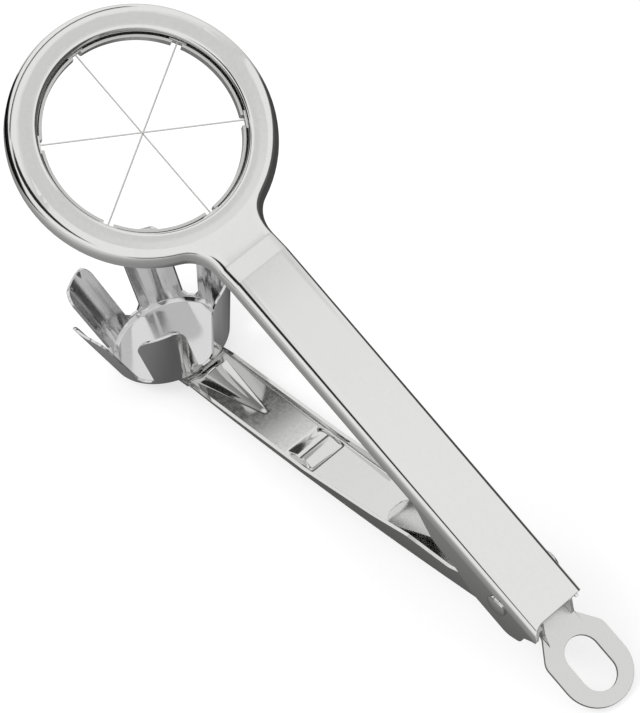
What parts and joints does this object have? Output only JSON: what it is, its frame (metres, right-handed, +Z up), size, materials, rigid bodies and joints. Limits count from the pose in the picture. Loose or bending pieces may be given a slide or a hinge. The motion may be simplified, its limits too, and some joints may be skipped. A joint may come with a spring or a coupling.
{
  "type": "egg wedge slicer",
  "caption": "Hand-held egg wedge slicer: a wire-strung ring on a handle closes over a petalled cup on a sprung lower arm, with a hanging tab at the hinge.",
  "frame": {"origin": "on the flat underside of the lower arm's pad, outboard of the cup rivet", "axes": "+X from the cup towards the hinge and the hanging tab, +Z up, +Y completes a right-handed frame; the tool is symmetric about the XZ plane but for one lug on the -Y side of its tail"},
  "size_m": [0.1968, 0.0676, 0.1185],
  "materials": {
    "ring_arm_steel": "polished",
    "lower_arm_steel": "polished",
    "cup_steel": "polished",
    "carrier_steel": "satin",
    "wire_steel": "bright drawn",
    "spring_steel": "satin",
    "tab_steel": "satin",
    "rivet_steel": "satin"
  },
  "bodies": {
    "base": {"lower_arm": "lower_arm_steel", "egg_cup": "cup_steel", "cup_rivet": "rivet_steel", "leaf_spring": "spring_steel"},
    "press": {"upper_arm": "ring_arm_steel", "wire_carrier": "carrier_steel", "wire_axial": "wire_steel", "wire_near": "wire_steel", "wire_far": "wire_steel", "wire_anchors": "wire_steel", "hinge_pin": "rivet_steel"},
    "tab": {"lock_slide": "tab_steel"}
  },
  "joints": [
    {"name": "squeeze", "type": "hinge", "parent": "base", "child": "press", "pos_m": [0.14783, 0, 0.02013], "axis": [0, -1, 0], "range_deg": [0, 39.66], "stiffness_Nm_per_rad": 0.4, "springref_deg": -22.92, "deforming": ["leaf_spring"]},
    {"name": "tab_slide", "type": "slide", "parent": "press", "child": "tab", "axis": [0.8455, 0, -0.5339], "range_m": [-0.005, 0]}
  ]
}
